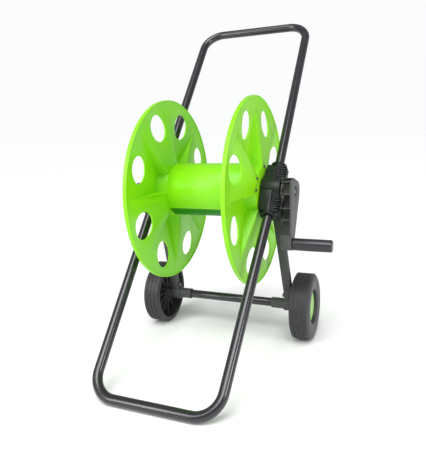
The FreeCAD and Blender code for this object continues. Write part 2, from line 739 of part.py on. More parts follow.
drive = journal("drive_shaft", 1, [
    ("boss_out + 1.5", "shaft_r"),
    ("boss_out + 1.5", "0"),
    (f"{PLATE_OUT} - 3", "0"),
])
square_sketch = sketch(drive, "YZ_Plane", "drive_square_outline", "boss_out + 1")
tilt = Rotation(Vector(1, 0, 0), -CRANK_TILT)
half_diagonal = "(square_half - 0.05)*sqrt(2)"
outline(square_sketch, [polar(half_diagonal, corner - CRANK_TILT) for corner in (45, 135, 225, 315)])
pad(drive, square_sketch, "drive_square", "square_long")
bolt_bore = sketch(drive, "YZ_Plane", "drive_bolt_bore", "arm_out")
circle(bolt_bore, "bolt_r + 0.05")
pocket(drive, bolt_bore, "drive_bolt_hole", "30")
node("drive_shaft", drive)

node("water_spindle", journal("water_spindle", -1, [
    ("boss_out + 0.3", "shaft_r"),
    ("boss_out + 0.3", "seal_r"),
    ("boss_out + 5.9", "seal_r"),
    ("boss_out + 5.9", "groove_r"),
    ("boss_out + 8.1", "groove_r"),
    ("boss_out + 8.1", "seal_r"),
    ("boss_out + 11.9", "seal_r"),
    ("boss_out + 11.9", "groove_r"),
    ("boss_out + 14.1", "groove_r"),
    ("boss_out + 14.1", "seal_r"),
    ("boss_out + 17", "seal_r"),
    ("boss_out + 17", "water_r"),
    (f"{PLATE_OUT} - 24", "water_r"),
    (f"{PLATE_OUT} - 24", "barb_r"),
    (f"{PLATE_OUT} - 3", "barb_r"),
]))

seals = []
for count, place in enumerate((7.0, 13.0)):
    seal = doc.addObject("Part::Torus", f"spindle_seal_{count}")
    seal.Radius1 = 7.2
    seal.Radius2 = 0.78
    seal.Placement = Placement(Vector(-val("boss_out") - place, 0, val("axis_z")),
                               Rotation(Vector(0, 0, 1), Vector(1, 0, 0)))
    seals.append(seal)
node("spindle_seals", joined("spindle_seals", seals))

HOSE_BEND = val("hose_bend")
HOSE_END = 42.0     # the hose ends this far from the reel's axis
hose = body("inner_hose", z="axis_z", turn=Rotation(Vector(1, 0, 0), OUTLET_ANGLE))
hose_path = sketch(hose, "XY_Plane", "inner_hose_path")
hose_start = Vector(-val(f"{PLATE_OUT} - 3.5"), 0, 0)
hose_path.addGeometry(Part.LineSegment(hose_start, Vector(-HOSE_BEND, 0, 0)), False)
hose_circle = Part.Circle(Vector(-HOSE_BEND, HOSE_BEND, 0), Vector(0, 0, 1), HOSE_BEND)
hose_path.addGeometry(Part.ArcOfCircle(hose_circle, -math.pi / 2, 0.0), False)
hose_path.addGeometry(Part.LineSegment(Vector(0, HOSE_BEND, 0), Vector(0, HOSE_END, 0)), False)
hose_section = sketch(hose, "YZ_Plane", "inner_hose_section", f"-({PLATE_OUT} - 3.5)")
circle(hose_section, "hose_r")
circle(hose_section, "hose_bore")
doc.recompute()
hose_sweep = hose.newObject("PartDesign::AdditivePipe", "inner_hose_sweep")
hose_sweep.Profile = hose_section
hose_sweep.Spine = (hose_path, ["Edge1", "Edge2", "Edge3"])
node("inner_hose", hose)


def turned_along(name, profile, base, direction):
    """A piece turned about any line. The profile's points are (distance from the base, radius)."""
    piece = body(name, turn=Rotation(Vector(1, 0, 0), direction))
    for letter, place in (("x", base.x), ("y", base.y), ("z", base.z)):
        piece.setExpression(f"Placement.Base.{letter}", str(place))
    sk = sketch(piece, "XZ_Plane", name + "_profile")
    outline(sk, profile)
    revolve(piece, sk, name + "_turning")
    return piece


def spigot_end(start):
    """The nose of a quick-connect spigot, from a start distance: neck, ring groove and taper."""
    return [
        (f"{start}", "nose_r"),
        (f"{start} + 14", "nose_r"),
        (f"{start} + 14", "nose_r - 1.4"),
        (f"{start} + 16.6", "nose_r - 1.4"),
        (f"{start} + 16.6", "nose_r"),
        (f"{start} + 20", "nose_r"),
        (f"{start} + 23", "nose_r - 1.6"),
        (f"{start} + 23", "water_r"),
    ]


node("hose_outlet", turned_along("hose_outlet", [
    ("24", "water_r"),
    ("24", "barb_r"),
    ("42.5", "barb_r"),
    ("42.5", "15"),
    ("45.5", "15"),
    ("45.5", "11"),
    ("63", "11"),
] + spigot_end("63"), reel_middle, outlet_way))
node("outlet_nut", turned_along("outlet_nut", [
    ("57.6", "11.05"),
    ("57.6", "17"),
    ("61.6", "17"),
    ("62.4", "16"),
    ("62.4", "11.05"),
], reel_middle, outlet_way))

inlet_x = "(boss_out + 24)"
barrel = turned("inlet_barrel", [
    ("boss_out + 0.6", "seal_r + run_gap"),
    ("boss_out + 0.6", "22"),
    ("boss_out + 4", "22"),
    ("boss_out + 4", "13"),
    ("boss_out + 32", "13"),
    ("boss_out + 34", "11"),
    ("boss_out + 34", "0"),
    ("boss_out + 31", "0"),
    ("boss_out + 31", "seal_r + run_gap"),
], -1, z="axis_z")
inlet_base = Vector(-val(inlet_x), 0, val("axis_z"))
inlet_spigot = turned_along("inlet_spigot", [
    ("10", "water_r"),
    ("10", "10.5"),
    ("26", "10.5"),
] + spigot_end("26"), inlet_base, Vector(0, 0, -1))
inlet_way = cylinder("inlet_way", "water_r", "30", inlet_base, Vector(0, 0, -1))
node("inlet_elbow", minus("inlet_elbow", joined("inlet_solid", [barrel, inlet_spigot]), [inlet_way]))


# ---- crank and grip ----------------------------------------------------------------------------

ARM_HEAD = ((21.0, 23.0), (31.0, 17.0), (35.0, 5.0), (34.5, -8.0))      # (half width, height)
ARM_FRONT = [(f"{wide}", f"{high}") for wide, high in ARM_HEAD] + [("arm_end_r", "-crank_r")]
ARM_OUTLINE = ARM_FRONT + [(f"-{wide}", high) for wide, high in reversed(ARM_FRONT)]
BAYS = (            # (top, bottom, half the core's thickness) of each open bay between two ribs
    (21.0, 14.0, 14.5),
    (12.2, -10.2, 14.5),
    (-12.0, -36.6, 3.0),
    (-38.2, -58.8, 3.0),
    (-60.4, -89.0, 3.0),
)
BAY_START_Y = 40.0      # the bays are cut in from this far in front of and behind the arm's middle
BAY_START_X = "arm_in - 1"      # and they are open towards the hub
arm = body("crank_arm", z="axis_z", turn=tilt)
arm_sketch = sketch(arm, "YZ_Plane", "arm_outline", "arm_in")
outline(arm_sketch, ARM_OUTLINE)
pad(arm, arm_sketch, "arm_block", "arm_out - arm_in")
end_sketch = sketch(arm, "YZ_Plane", "arm_end_outline", "arm_in")
circle(end_sketch, "arm_end_r", "0", "-crank_r")
pad(arm, end_sketch, "arm_end", "arm_out - arm_in")
for count, (top, bottom, core) in enumerate(BAYS):
    for face, sign in (("front", -1), ("back", 1)):
        bay_sketch = sketch(arm, "XZ_Plane", f"arm_{face}_bay_outline_{count}", f"{-sign * BAY_START_Y}")
        outline(bay_sketch, [
            (BAY_START_X, top),
            ("arm_out - arm_skin", top),
            ("arm_out - arm_skin", bottom),
            (BAY_START_X, bottom),
        ])
        pocket(arm, bay_sketch, f"arm_{face}_bay_{count}", f"{BAY_START_Y - core}", reverse=sign > 0)
drive_sketch = sketch(arm, "YZ_Plane", "arm_square_outline", "arm_out")
outline(drive_sketch, [("square_half", "square_half"), ("-square_half", "square_half"),
                       ("-square_half", "-square_half"), ("square_half", "-square_half")])
pocket(arm, drive_sketch, "arm_square", "arm_out - arm_in")
recess_sketch = sketch(arm, "YZ_Plane", "arm_recess_outline", "arm_out")
circle(recess_sketch, "recess_r")
pocket(arm, recess_sketch, "arm_recess", "recess_deep")
pin_sketch = sketch(arm, "YZ_Plane", "arm_pin_outline", "arm_out")
circle(pin_sketch, "pin_r + 0.02", "0", "-crank_r")
pocket(arm, pin_sketch, "arm_pin_bore", "arm_out - arm_in")
node("crank_arm", arm)

node("crank_washer", turned("crank_washer", [
    ("arm_out - recess_deep + 0.02", "bolt_r + 0.2"),
    ("arm_out - recess_deep + 0.02", "recess_r - 0.4"),
    ("arm_out - 4.6", "recess_r - 0.4"),
    ("arm_out - 4.6", "bolt_r + 0.2"),
], z="axis_z"))
node("crank_bolt", turned("crank_bolt", [
    ("arm_out - 30", "0"),
    ("arm_out - 30", "bolt_r"),
    ("arm_out - 4.58", "bolt_r"),
    ("arm_out - 4.58", "5.6"),
    ("arm_out - 1.4", "5.6"),
    ("arm_out - 0.6", "4.6"),
    ("arm_out - 0.6", "0"),
], z="axis_z"))

grip_way = tilt.multVec(Vector(0, 0, -1)) * val("crank_r")
GRIP_Y = str(grip_way.y)
GRIP_Z = f"axis_z + {grip_way.z}"
node("grip_pin", turned("grip_pin", [
    ("arm_in + 0.5", "0"),
    ("arm_in + 0.5", "pin_r"),
    ("grip_out - 8.8", "pin_r"),
    ("grip_out - 8.8", "7.4"),
    ("grip_out - 6", "7.4"),
    ("grip_out - 6", "0"),
], y=GRIP_Y, z=GRIP_Z))
node("crank_grip", turned("crank_grip", [
    ("grip_in", "pin_r + run_gap"),
    ("grip_in", "grip_r - 1.2"),
    ("grip_in + 1.5", "grip_r"),
    ("grip_out - 2", "grip_r"),
    ("grip_out", "grip_r - 1.4"),
    ("grip_out", "8.2"),
    ("grip_out - 9", "8.2"),
    ("grip_out - 9", "pin_r + run_gap"),
], y=GRIP_Y, z=GRIP_Z))
node("grip_cap", turned("grip_cap", [
    ("grip_out - 5.5", "0"),
    ("grip_out - 5.5", "8.18"),
    ("grip_out - 0.6", "8.18"),
    ("grip_out - 0.1", "6.5"),
    ("grip_out - 0.1", "0"),
], y=GRIP_Y, z=GRIP_Z))


# ---- check and write ---------------------------------------------------------------------------

doc.recompute()
failed = [thing.Name for thing in doc.Objects if {"Invalid", "Error"} & set(thing.State)]
if failed:
    raise RuntimeError(f"objects that did not build: {failed}")
for name, thing in nodes.items():
    if thing.Shape.isNull() or not thing.Shape.isValid() or not thing.Shape.Solids:
        raise RuntimeError(f"{name} has no valid solid")

os.makedirs("parts", exist_ok=True)
whole = FreeCAD.BoundBox()
for name, thing in nodes.items():
    thing.Shape.exportStep(f"parts/{name}.step")
    whole.add(thing.Shape.BoundBox)
print(len(nodes), "pieces")
edges = (whole.XMin, whole.XMax, whole.YMin, whole.YMax, whole.ZMin, whole.ZMax)
print("overall", [round(edge, 1) for edge in edges])
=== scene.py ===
# %% [markdown]
# # A garden hose reel cart
# The cart is a lime green reel between two black hubs, held up by bent steel tubes.
# Its working shapes come from a CAD model in metres: +X points to the crank, +Y to the wheels
# and +Z up. This lesson dresses them: finishes, softened edges and the small repeated details.

# %% Load the working shapes
import json
import math

import bmesh
import bpy
from mathutils import Matrix, Vector


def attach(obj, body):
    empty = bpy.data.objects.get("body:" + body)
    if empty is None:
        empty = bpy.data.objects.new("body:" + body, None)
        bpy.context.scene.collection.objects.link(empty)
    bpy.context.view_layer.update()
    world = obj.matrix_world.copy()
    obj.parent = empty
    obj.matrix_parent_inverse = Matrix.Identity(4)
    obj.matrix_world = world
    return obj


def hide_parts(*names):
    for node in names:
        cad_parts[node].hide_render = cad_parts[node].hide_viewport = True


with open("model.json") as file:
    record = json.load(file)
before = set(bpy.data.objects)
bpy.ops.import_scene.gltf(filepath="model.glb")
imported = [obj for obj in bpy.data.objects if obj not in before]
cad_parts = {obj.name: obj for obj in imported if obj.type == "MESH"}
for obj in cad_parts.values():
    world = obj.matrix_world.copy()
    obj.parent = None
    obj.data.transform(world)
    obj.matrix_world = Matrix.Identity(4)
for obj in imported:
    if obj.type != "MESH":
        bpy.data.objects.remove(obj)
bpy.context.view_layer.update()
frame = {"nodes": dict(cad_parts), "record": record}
cad_nodes = frame["nodes"]
bodies = frame["record"]["behaviour"]["bodies"]
body_of_node = {node: body for body, nodes in bodies.items() for node in nodes}
slot_of_node = {part["node"]: part["material_slot"] for part in frame["record"]["subparts"]}
MM = 0.001

# %% [markdown]
# ## The camera
# A product picture is taken from a little above the middle, with a normal lens, so that upright
# lines stay nearly upright. The camera looks slightly down, and a small vertical shift of the
# lens does the rest of the framing.

# %% Camera
IMAGE_WIDE, IMAGE_HIGH = 426, 450
FOCAL_LENGTH = 490.133  # in the units of the image's two sides
SENSOR_MM = 36.0
CAMERA_PLACE = (0.400513, -0.944071, 0.459058)
YAW, PITCH, ROLL = -0.4026, -0.1476, -0.034
camera_data = bpy.data.cameras.new("camera")
camera = bpy.data.objects.new("camera", camera_data)
bpy.context.scene.collection.objects.link(camera)
bpy.context.scene.camera = camera
ahead = Vector((math.sin(YAW) * math.cos(PITCH), math.cos(YAW) * math.cos(PITCH), math.sin(PITCH)))
level = Vector((math.cos(YAW), -math.sin(YAW), 0.0))
upward = level.cross(ahead)
camera_right = level * math.cos(ROLL) + upward * math.sin(ROLL)
camera_up = upward * math.cos(ROLL) - level * math.sin(ROLL)
turn = Matrix((camera_right, camera_up, -ahead)).transposed()
camera.matrix_world = Matrix.Translation(CAMERA_PLACE) @ turn.to_4x4()
camera_data.sensor_width = SENSOR_MM
camera_data.lens = FOCAL_LENGTH / max(IMAGE_WIDE, IMAGE_HIGH) * SENSOR_MM
camera_data.shift_y = -0.0474
camera_data.clip_start = 0.01
print("lens", round(camera_data.lens, 2), "mm")

# %% [markdown]
# ## Sums in node trees
# A finish or a pattern is a small network of nodes. Wiring every sum by hand hides the idea, so a
# wrapped socket takes part in ordinary sums, and one method makes any other node.

# %% Nodes as expressions
class Flow:
    """A socket that can be used in sums: each operator adds a Math node."""

    def __init__(self, net, socket):
        self.net = net
        self.socket = socket

    def other(self, name):
        """Another output of the same node."""
        return Flow(self.net, self.socket.node.outputs[name])

    def maths(self, operation, *terms):
        return self.net.add("ShaderNodeMath", {"operation": operation}, dict(enumerate(terms)))

    def __add__(self, term):
        return self.maths("ADD", self, term)

    def __sub__(self, term):
        return self.maths("SUBTRACT", self, term)

    def __rsub__(self, term):
        return self.maths("SUBTRACT", term, self)

    def __mul__(self, term):
        return self.maths("MULTIPLY", self, term)

    def __truediv__(self, term):
        return self.maths("DIVIDE", self, term)

    def __mod__(self, term):
        return self.maths("MODULO", self, term)

    __radd__ = __add__
    __rmul__ = __mul__


class Net:
    """A node tree being built."""

    def __init__(self, tree):
        self.tree = tree

    def add(self, kind, settings=None, values=None, out=0):
        """A new node with its settings, then its sockets' values or links. Gives one output."""
        made = self.tree.nodes.new(kind)
        for key, setting in (settings or {}).items():
            if key == "stops":
                elements = made.color_ramp.elements
                while len(elements) < len(setting):
                    elements.new(1.0)
                for element, (place, level) in zip(elements, setting):
                    element.position = place
                    element.color = (level, level, level, 1.0)
            else:
                setattr(made, key, setting)
        for key, value in (values or {}).items():
            if isinstance(key, str):
                socket = next(s for s in made.inputs if key in (s.identifier, s.name) and s.enabled)
            else:
                socket = made.inputs[key]
            if isinstance(value, Flow):
                self.tree.links.new(value.socket, socket)
            else:
                socket.default_value = value
        return Flow(self, made.outputs[out]) if made.outputs else made


print("nodes can be written as sums")

# %% [markdown]
# ## Floor and light
# Plain soft light shows the shapes without drama. A wide sun is even over the whole floor. A tall
# lamp in front on the left draws the long highlights that tell a glossy tube from a dull one, and
# a square lamp on the right lights the outer sides. The sky looks white, but it lights the cart
# with less than that, or every black piece would turn grey.

# %% Floor, sky and lamps
bpy.context.scene.view_settings.view_transform = "Standard"
sky = bpy.data.worlds.new("sky")
bpy.context.scene.world = sky
sky.use_nodes = True
sky_net = Net(sky.node_tree)
SKY_LIGHT = 0.45  # what the sky gives the cart; the camera sees a strength of 1
seen = sky_net.add("ShaderNodeLightPath", out="Is Camera Ray")
backdrop = sky.node_tree.nodes["Background"]
sky_net.tree.links.new((SKY_LIGHT + (1.0 - SKY_LIGHT) * seen).socket, backdrop.inputs["Strength"])
backdrop.inputs["Color"].default_value = (0.97, 0.975, 0.985, 1.0)
REEL_MIDDLE = Vector((0.0, 0.0, 0.336))


def lamp(name, kind, place, power, **settings):
    """A lamp at a place, turned to face the reel."""
    data = bpy.data.lights.new(name, kind)
    data.energy = power
    for key, setting in settings.items():
        setattr(data, key, setting)
    made = bpy.data.objects.new(name, data)
    bpy.context.scene.collection.objects.link(made)
    aim = (Vector(place) - REEL_MIDDLE).to_track_quat("Z", "Y").to_matrix().to_4x4()
    made.matrix_world = Matrix.Translation(place) @ aim


lamp("sun", "SUN", (0.1, -1.15, 2.2), 2.25, angle=math.radians(40.0))
lamp("lamp_front", "AREA", (-1.1, -2.0, 1.25), 20.0, shape="RECTANGLE", size=0.6, size_y=1.4)
lamp("lamp_side", "AREA", (2.2, -0.9, 1.1), 17.0, size=0.8)

FLOOR_HALF = 30.0
FLOOR_Z = -0.5 * MM
FLOOR_SIGNS = ((-1, -1), (1, -1), (1, 1), (-1, 1))
floor_mesh = bpy.data.meshes.new("floor")
floor_corners = [(x * FLOOR_HALF, y * FLOOR_HALF, FLOOR_Z) for x, y in FLOOR_SIGNS]
floor_mesh.from_pydata(floor_corners, [], [(0, 1, 2, 3)])
floor = bpy.data.objects.new("floor", floor_mesh)
bpy.context.scene.collection.objects.link(floor)
print("3 lamps and a floor of", 2 * FLOOR_HALF, "m")

# %% [markdown]
# ## Moulded plastic
# Most of the cart is injection moulded. The mould's steel is spark eroded, so the plastic has a
# fine grain, and the melt leaves broad, faint clouds in its colour and gloss. One recipe with
# different sizes serves the hubs, the legs, the reel, the crank and the wheels.

# %% A recipe for moulded plastic
CLOUD_SIZE, SCUFF_SIZE = 0.06, 0.012


def new_finish(name):
    """An empty material, its net, its shader and its object coordinates."""
    made = bpy.data.materials.new(name)
    made.use_nodes = True
    net = Net(made.node_tree)
    shader = made.node_tree.nodes["Principled BSDF"]
    place = net.add("ShaderNodeTexCoord", out="Object")
    return made, net, shader, place


def noise(net, place, feature, detail=2.0, squeeze=None):
    """Noise from 0 to 1 with features of one size in metres, squeezed along axes if asked."""
    if squeeze:
        place = net.add("ShaderNodeMapping", {}, {"Vector": place, "Scale": squeeze})
    sizes = {"Vector": place, "Scale": 1.0 / feature, "Detail": detail}
    return net.add("ShaderNodeTexNoise", {}, sizes)


def tinted(net, colour, shade):
    """A colour made lighter or darker by a factor."""
    values = {"Vector": colour, "Scale": shade}
    return net.add("ShaderNodeVectorMath", {"operation": "SCALE"}, values)


def ramp(net, low, high, flow):
    """0 below one level, 1 above another, and a slope between them."""
    stops = ((low, 0.0), (high, 1.0))
    return net.add("ShaderNodeValToRGB", {"stops": stops}, {"Fac": flow})


def plug(net, shader, name, flow):
    """Link a result to one of the shader's sockets."""
    net.tree.links.new(flow.socket, shader.inputs[name])


def moulded(name, colour, roughness, grain_mm, depth_mm, clouds=0.05, scuffs=0.05, **constants):
    """Moulded plastic: clouded colour, uneven gloss with light scuffs, and a fine grain."""
    made, net, shader, place = new_finish(name)
    cloud = noise(net, place, CLOUD_SIZE, 3.0) - 0.5
    grain = noise(net, place, grain_mm * MM)
    scuff = ramp(net, 0.58, 0.72, noise(net, place, SCUFF_SIZE, 6.0, (0.25, 1.0, 1.0)))
    shade = 1.0 + clouds * 2.0 * cloud + 0.03 * (grain - 0.5)
    plug(net, shader, "Base Color", tinted(net, colour, shade))
    plug(net, shader, "Roughness", roughness + 0.12 * cloud + scuffs * scuff)
    bump = net.add("ShaderNodeBump", {}, {"Height": grain, "Distance": depth_mm * MM})
    plug(net, shader, "Normal", bump)
    for key, value in constants.items():
        shader.inputs[key.replace("_", " ")].default_value = value
    return made


materials_before = len(bpy.data.materials)
# The hub's black is tinted green: a painted reflection of the green reel beside it, laid over the
# black plastic's own colour.
hub_black_painted_reflection = moulded("hub_black_painted_reflection", (0.009, 0.013, 0.011), 0.4, 0.9, 0.05, Specular_IOR_Level=0.32)
leg_black = moulded("leg_black", (0.05, 0.05, 0.051), 0.52, 0.8, 0.06)
lime = moulded("lime", (0.24, 0.69, 0.002), 0.36, 1.6, 0.02, clouds=0.03, Subsurface_Weight=0.1,
               Subsurface_Scale=0.004, Specular_IOR_Level=0.42)
# The reel's lower shell gets a much darker green. This is painted shade, standing in for the shadow
# on the drum's underside.
painted_shade_green = moulded("painted_shade_green", (0.012, 0.21, 0.001), 0.4, 1.6, 0.02, clouds=0.03,
                     Specular_IOR_Level=0.2)
cap_green = moulded("cap_green", (0.27, 0.6, 0.1), 0.36, 1.6, 0.02, clouds=0.03)
wheel_grey = moulded("wheel_grey", (0.042, 0.039, 0.045), 0.46, 0.8, 0.06, scuffs=0.12)
crank_grey = moulded("crank_grey", (0.066, 0.066, 0.067), 0.5, 0.8, 0.05)
grip_black = moulded("grip_black", (0.021, 0.02, 0.025), 0.25, 0.7, 0.03)
acetal = moulded("acetal", (0.74, 0.73, 0.69), 0.4, 1.2, 0.01, clouds=0.02, Subsurface_Weight=0.1,
                 Subsurface_Scale=0.002)
journal_black = moulded("journal_black", (0.03, 0.03, 0.031), 0.38, 1.0, 0.02)
fitting_black = moulded("fitting_black", (0.035, 0.035, 0.037), 0.3, 1.1, 0.02)
soft_rubber = moulded("soft_rubber", (0.02, 0.02, 0.02), 0.7, 0.7, 0.05)
print(len(bpy.data.materials) - materials_before, "moulded finishes")

# %% [markdown]
# ## Powder coat and zinc
# Powder melts into a thick glossy skin with a faint orange-peel ripple, which is what breaks up
# the long highlight of a tube. Zinc plating is a metal with small crystals of uneven brightness.

# %% Powder coat and zinc
def powder_coat(name, colour):
    """A glossy powder coat: a dark base with a rippled clear skin and a few dull specks."""
    made, net, shader, place = new_finish(name)
    peel = noise(net, place, 2.2 * MM, 1.0)
    speck = ramp(net, 0.66, 0.74, noise(net, place, 1.1 * MM))
    haze = noise(net, place, 0.05, 4.0) - 0.5
    plug(net, shader, "Base Color", tinted(net, colour, 1.0 + 0.5 * haze + 0.8 * speck))
    plug(net, shader, "Roughness", 0.25 + 0.1 * haze + 0.12 * speck)
    bump = net.add("ShaderNodeBump", {}, {"Height": peel, "Distance": 0.03 * MM})
    plug(net, shader, "Normal", bump)
    shader.inputs["Coat Weight"].default_value = 0.5
    shader.inputs["Coat Roughness"].default_value = 0.17
    return made


def plated(name, colour):
    """Zinc plate: a metal whose small crystals differ in tone and gloss."""
    made, net, shader, place = new_finish(name)
    crystal = net.add("ShaderNodeTexVoronoi", {}, {"Vector": place, "Scale": 900.0}, out="Color")
    tone = net.add("ShaderNodeSeparateColor", {}, {"Color": crystal})
    plug(net, shader, "Base Color", tinted(net, colour, 0.85 + 0.2 * tone))
    plug(net, shader, "Roughness", 0.26 + 0.14 * tone)
    shader.inputs["Metallic"].default_value = 1.0
    return made


tube_black = powder_coat("tube_black", (0.009, 0.008, 0.012))
zinc = plated("zinc", (0.56, 0.57, 0.59))
dark_zinc = plated("dark_zinc", (0.12, 0.13, 0.12))
floor_finish, floor_net, floor_shader, floor_place = new_finish("floor_finish")
floor_shade = 1.0 + 0.01 * (noise(floor_net, floor_place, 0.4) - 0.5)
plug(floor_net, floor_shader, "Base Color", tinted(floor_net, (0.985, 0.985, 0.985), floor_shade))
floor_shader.inputs["Roughness"].default_value = 0.8
floor_mesh.materials.append(floor_finish)
# The hubs' finish carries a painted green reflection, and the reel's lower shell a painted-shade
# green.
FINISH = {
    "frame_steel": tube_black, "hub_plastic": hub_black_painted_reflection, "reel_plastic": lime,
    "bay_plastic": painted_shade_green, "cap_plastic": cap_green, "wheel_plastic": wheel_grey,
    "crank_plastic": crank_grey, "grip_plastic": grip_black, "bush_plastic": acetal,
    "journal_plastic": journal_black, "fitting_plastic": fitting_black,
    "soft_rubber": soft_rubber, "zinc_steel": zinc,
}
for node, thing in cad_nodes.items():
    thing.data.materials.clear()
    thing.data.materials.append(FINISH[slot_of_node[node]])
print(len(FINISH), "finishes on", len(cad_nodes), "CAD pieces")

# %% [markdown]
# ## Softened edges
# A CAD edge is perfectly sharp, and nothing moulded is. A sharp edge catches no light, so the
# piece looks like cardboard. Here a copy of a CAD piece is merged, its flat faces are made whole
# again, and each sharp edge gets a small round. A Bevel modifier could do the last step, but in
# code the edges are chosen once and the mesh is final.

# %% Softening a CAD piece
MERGE_MM, LEAST_EDGE_MM = 0.002, 0.3
FLAT_DEGREES, SHARP_DEGREES = 0.6, 33


def place_piece(name, mesh, node, *more_nodes, sharp=40.0):
    """Hang a finished mesh on the body of the CAD nodes it stands for."""
    mesh.shade_smooth()
    mesh.set_sharp_from_angle(angle=math.radians(sharp))
    piece = bpy.data.objects.new(name, mesh)
    bpy.context.scene.collection.objects.link(piece)
    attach(piece, body_of_node[node])
    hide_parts(node, *more_nodes)
    return piece


def softened(node, round_mm, finish=None):
    """A copy of a CAD node whose sharp edges are rounded."""
    work = bmesh.new()
    work.from_mesh(cad_nodes[node].data)
    bmesh.ops.remove_doubles(work, verts=work.verts, dist=MERGE_MM * MM)
    bmesh.ops.dissolve_degenerate(work, dist=LEAST_EDGE_MM * MM, edges=work.edges)
    flat = math.radians(FLAT_DEGREES)
    bmesh.ops.dissolve_limit(work, angle_limit=flat, verts=work.verts, edges=work.edges)
    least = math.radians(SHARP_DEGREES)
    sharp = [e for e in work.edges if e.is_manifold and e.calc_face_angle() > least]
    bmesh.ops.bevel(work, geom=sharp, offset=round_mm * MM, segments=2, profile=0.5,
                    affect="EDGES", clamp_overlap=False, offset_type="OFFSET")
    bmesh.ops.triangulate(work, faces=[f for f in work.faces if len(f.verts) > 4])
    mesh = bpy.data.meshes.new(node + "_soft")
    work.to_mesh(mesh)
    work.free()
    mesh.validate()
    mesh.materials.clear()
    mesh.materials.append(finish or FINISH[slot_of_node[node]])
    return place_piece(node + "_soft", mesh, node)


ROUND_MM = {
    "flange_right": 0.5, "flange_left": 0.5, "side_hub_right": 0.35, "side_hub_left": 0.35,
    "crank_arm": 0.5, "drum_upper": 0.3, "drum_lower": 0.3, "bearing_bush_right": 0.3,
    "bearing_bush_left": 0.3, "axle_tube": 0.2, "drive_shaft": 0.3, "crank_bolt": 0.3,
    "crank_washer": 0.15, "inlet_elbow": 0.4, "hose_outlet": 0.3, "outlet_nut": 0.3,
    "axle_plug_right": 0.3, "axle_plug_left": 0.3, "grip_cap": 0.3, "leg_bolt_right": 0.35,
    "leg_bolt_left": 0.35, "grip_pin": 0.2, "axle_clip_right": 0.15, "axle_clip_left": 0.15,
    "water_spindle": 0.2, "leg_right": 0.5, "leg_left": 0.5,
}
OWN_FINISH = {
    "leg_right": leg_black, "leg_left": leg_black, "crank_bolt": dark_zinc,
    "leg_bolt_right": dark_zinc, "leg_bolt_left": dark_zinc,
}
soft = [softened(node, size, OWN_FINISH.get(node)) for node, size in ROUND_MM.items()]
print(len(soft), "softened pieces,", sum(len(piece.data.polygons) for piece in soft), "faces")

# %% [markdown]
# ## Patterns that repeat
# Geometry Nodes suit what follows a rule: a tube along a path, blocks round a tyre, webs in a
# wheel, equal screws. A tree states the rule once, with its sizes as named inputs. Its result is
# turned into a plain mesh, so that the cart is made of ordinary pieces in the end.

# %% Trees with named inputs
SOCKET_KINDS = {float: "NodeSocketFloat", int: "NodeSocketInt", "object": "NodeSocketObject"}


def new_tree(name, inputs):
    """A geometry tree with named inputs. Gives its net, its inputs by name, and a closing step."""
    tree = bpy.data.node_groups.new(name, "GeometryNodeTree")
    tree.interface.new_socket("Geometry", in_out="INPUT", socket_type="NodeSocketGeometry")
    for label, kind in inputs.items():
        tree.interface.new_socket(label, in_out="INPUT", socket_type=SOCKET_KINDS[kind])
    tree.interface.new_socket("Finish", in_out="INPUT", socket_type="NodeSocketMaterial")
    tree.interface.new_socket("Geometry", in_out="OUTPUT", socket_type="NodeSocketGeometry")
    net = Net(tree)
    start = net.add("NodeGroupInput", out="Geometry")
    given = {label: start.other(label) for label in ("Geometry", "Finish", *inputs)}

    def close(shape):
        real = net.add("GeometryNodeRealizeInstances", {}, {"Geometry": shape})
        dressed = {"Geometry": real, "Material": given["Finish"]}
        done = net.add("GeometryNodeSetMaterial", {}, dressed)
        net.add("NodeGroupOutput", {}, {"Geometry": done})

    return net, given, close


def grown(tree, points, edges, values, finish, attributes=None):
    """The plain mesh that a tree makes from points and edges, with its inputs set."""
    seed = bpy.data.meshes.new("seed")
    seed.from_pydata(points, edges, [])
    for label, vectors in (attributes or {}).items():
        layer = seed.attributes.new(label, "FLOAT_VECTOR", "POINT")
        layer.data.foreach_set("vector", [number for vector in vectors for number in vector])
    holder = bpy.data.objects.new("seed", seed)
    bpy.context.scene.collection.objects.link(holder)
    modifier = holder.modifiers.new("tree", "NODES")
    modifier.node_group = tree
    for item in tree.interface.items_tree:
        if item.in_out == "INPUT" and item.name in values:
            modifier[item.identifier] = values[item.name]
        if item.in_out == "INPUT" and item.name == "Finish":
            modifier[item.identifier] = finish
    ready = holder.evaluated_get(bpy.context.evaluated_depsgraph_get())
    mesh = bpy.data.meshes.new_from_object(ready)
    bpy.data.objects.remove(holder)
    bpy.data.meshes.remove(seed)
    return mesh


print("trees can be grown into meshes")

# %% [markdown]
# ## The bent frame
# Handle and stand are steel tubes of 19 mm, bent to a U with two corners each. A CAD tube is cut
# into long thin triangles, so here the tube is swept again: straight runs, rounded corners, and a
# round section carried along the path, which gives even faces for the gloss to run over.

# %% Bent tubes
TUBE_RADIUS, CORNER_RADIUS = 9.5 * MM, 46.0 * MM
TUBE_FACETS, CORNER_STEPS = 40, 24
TUBE_START = 20.0 * MM  # from the reel's axis, deep inside the hub
HUB_X, AXIS_Z = 132.4 * MM, 336.0 * MM
# each arm's bar: how far behind the reel's axis, how far above it, and half its length
ARMS = {
    "handle_tube": (316.7 * MM, 372.0 * MM, 135.0 * MM),
    "stand_tube": (-297.4 * MM, -326.5 * MM, 119.0 * MM),
}
tube_net, tube_in, close_tube = new_tree("bent_tube", {
    "Tube radius": float, "Corner radius": float, "Facets": int})
path = tube_net.add("GeometryNodeMeshToCurve", {}, {"Mesh": tube_in["Geometry"]})
rounded = tube_net.add("GeometryNodeFilletCurve", {"mode": "POLY"}, {
    "Curve": path, "Radius": tube_in["Corner radius"], "Count": CORNER_STEPS})
ring = tube_net.add("GeometryNodeCurvePrimitiveCircle", {}, {
    "Resolution": tube_in["Facets"], "Radius": tube_in["Tube radius"]})
swept = tube_net.add("GeometryNodeCurveToMesh", {}, {
    "Curve": rounded, "Profile Curve": ring, "Fill Caps": True})
close_tube(swept)


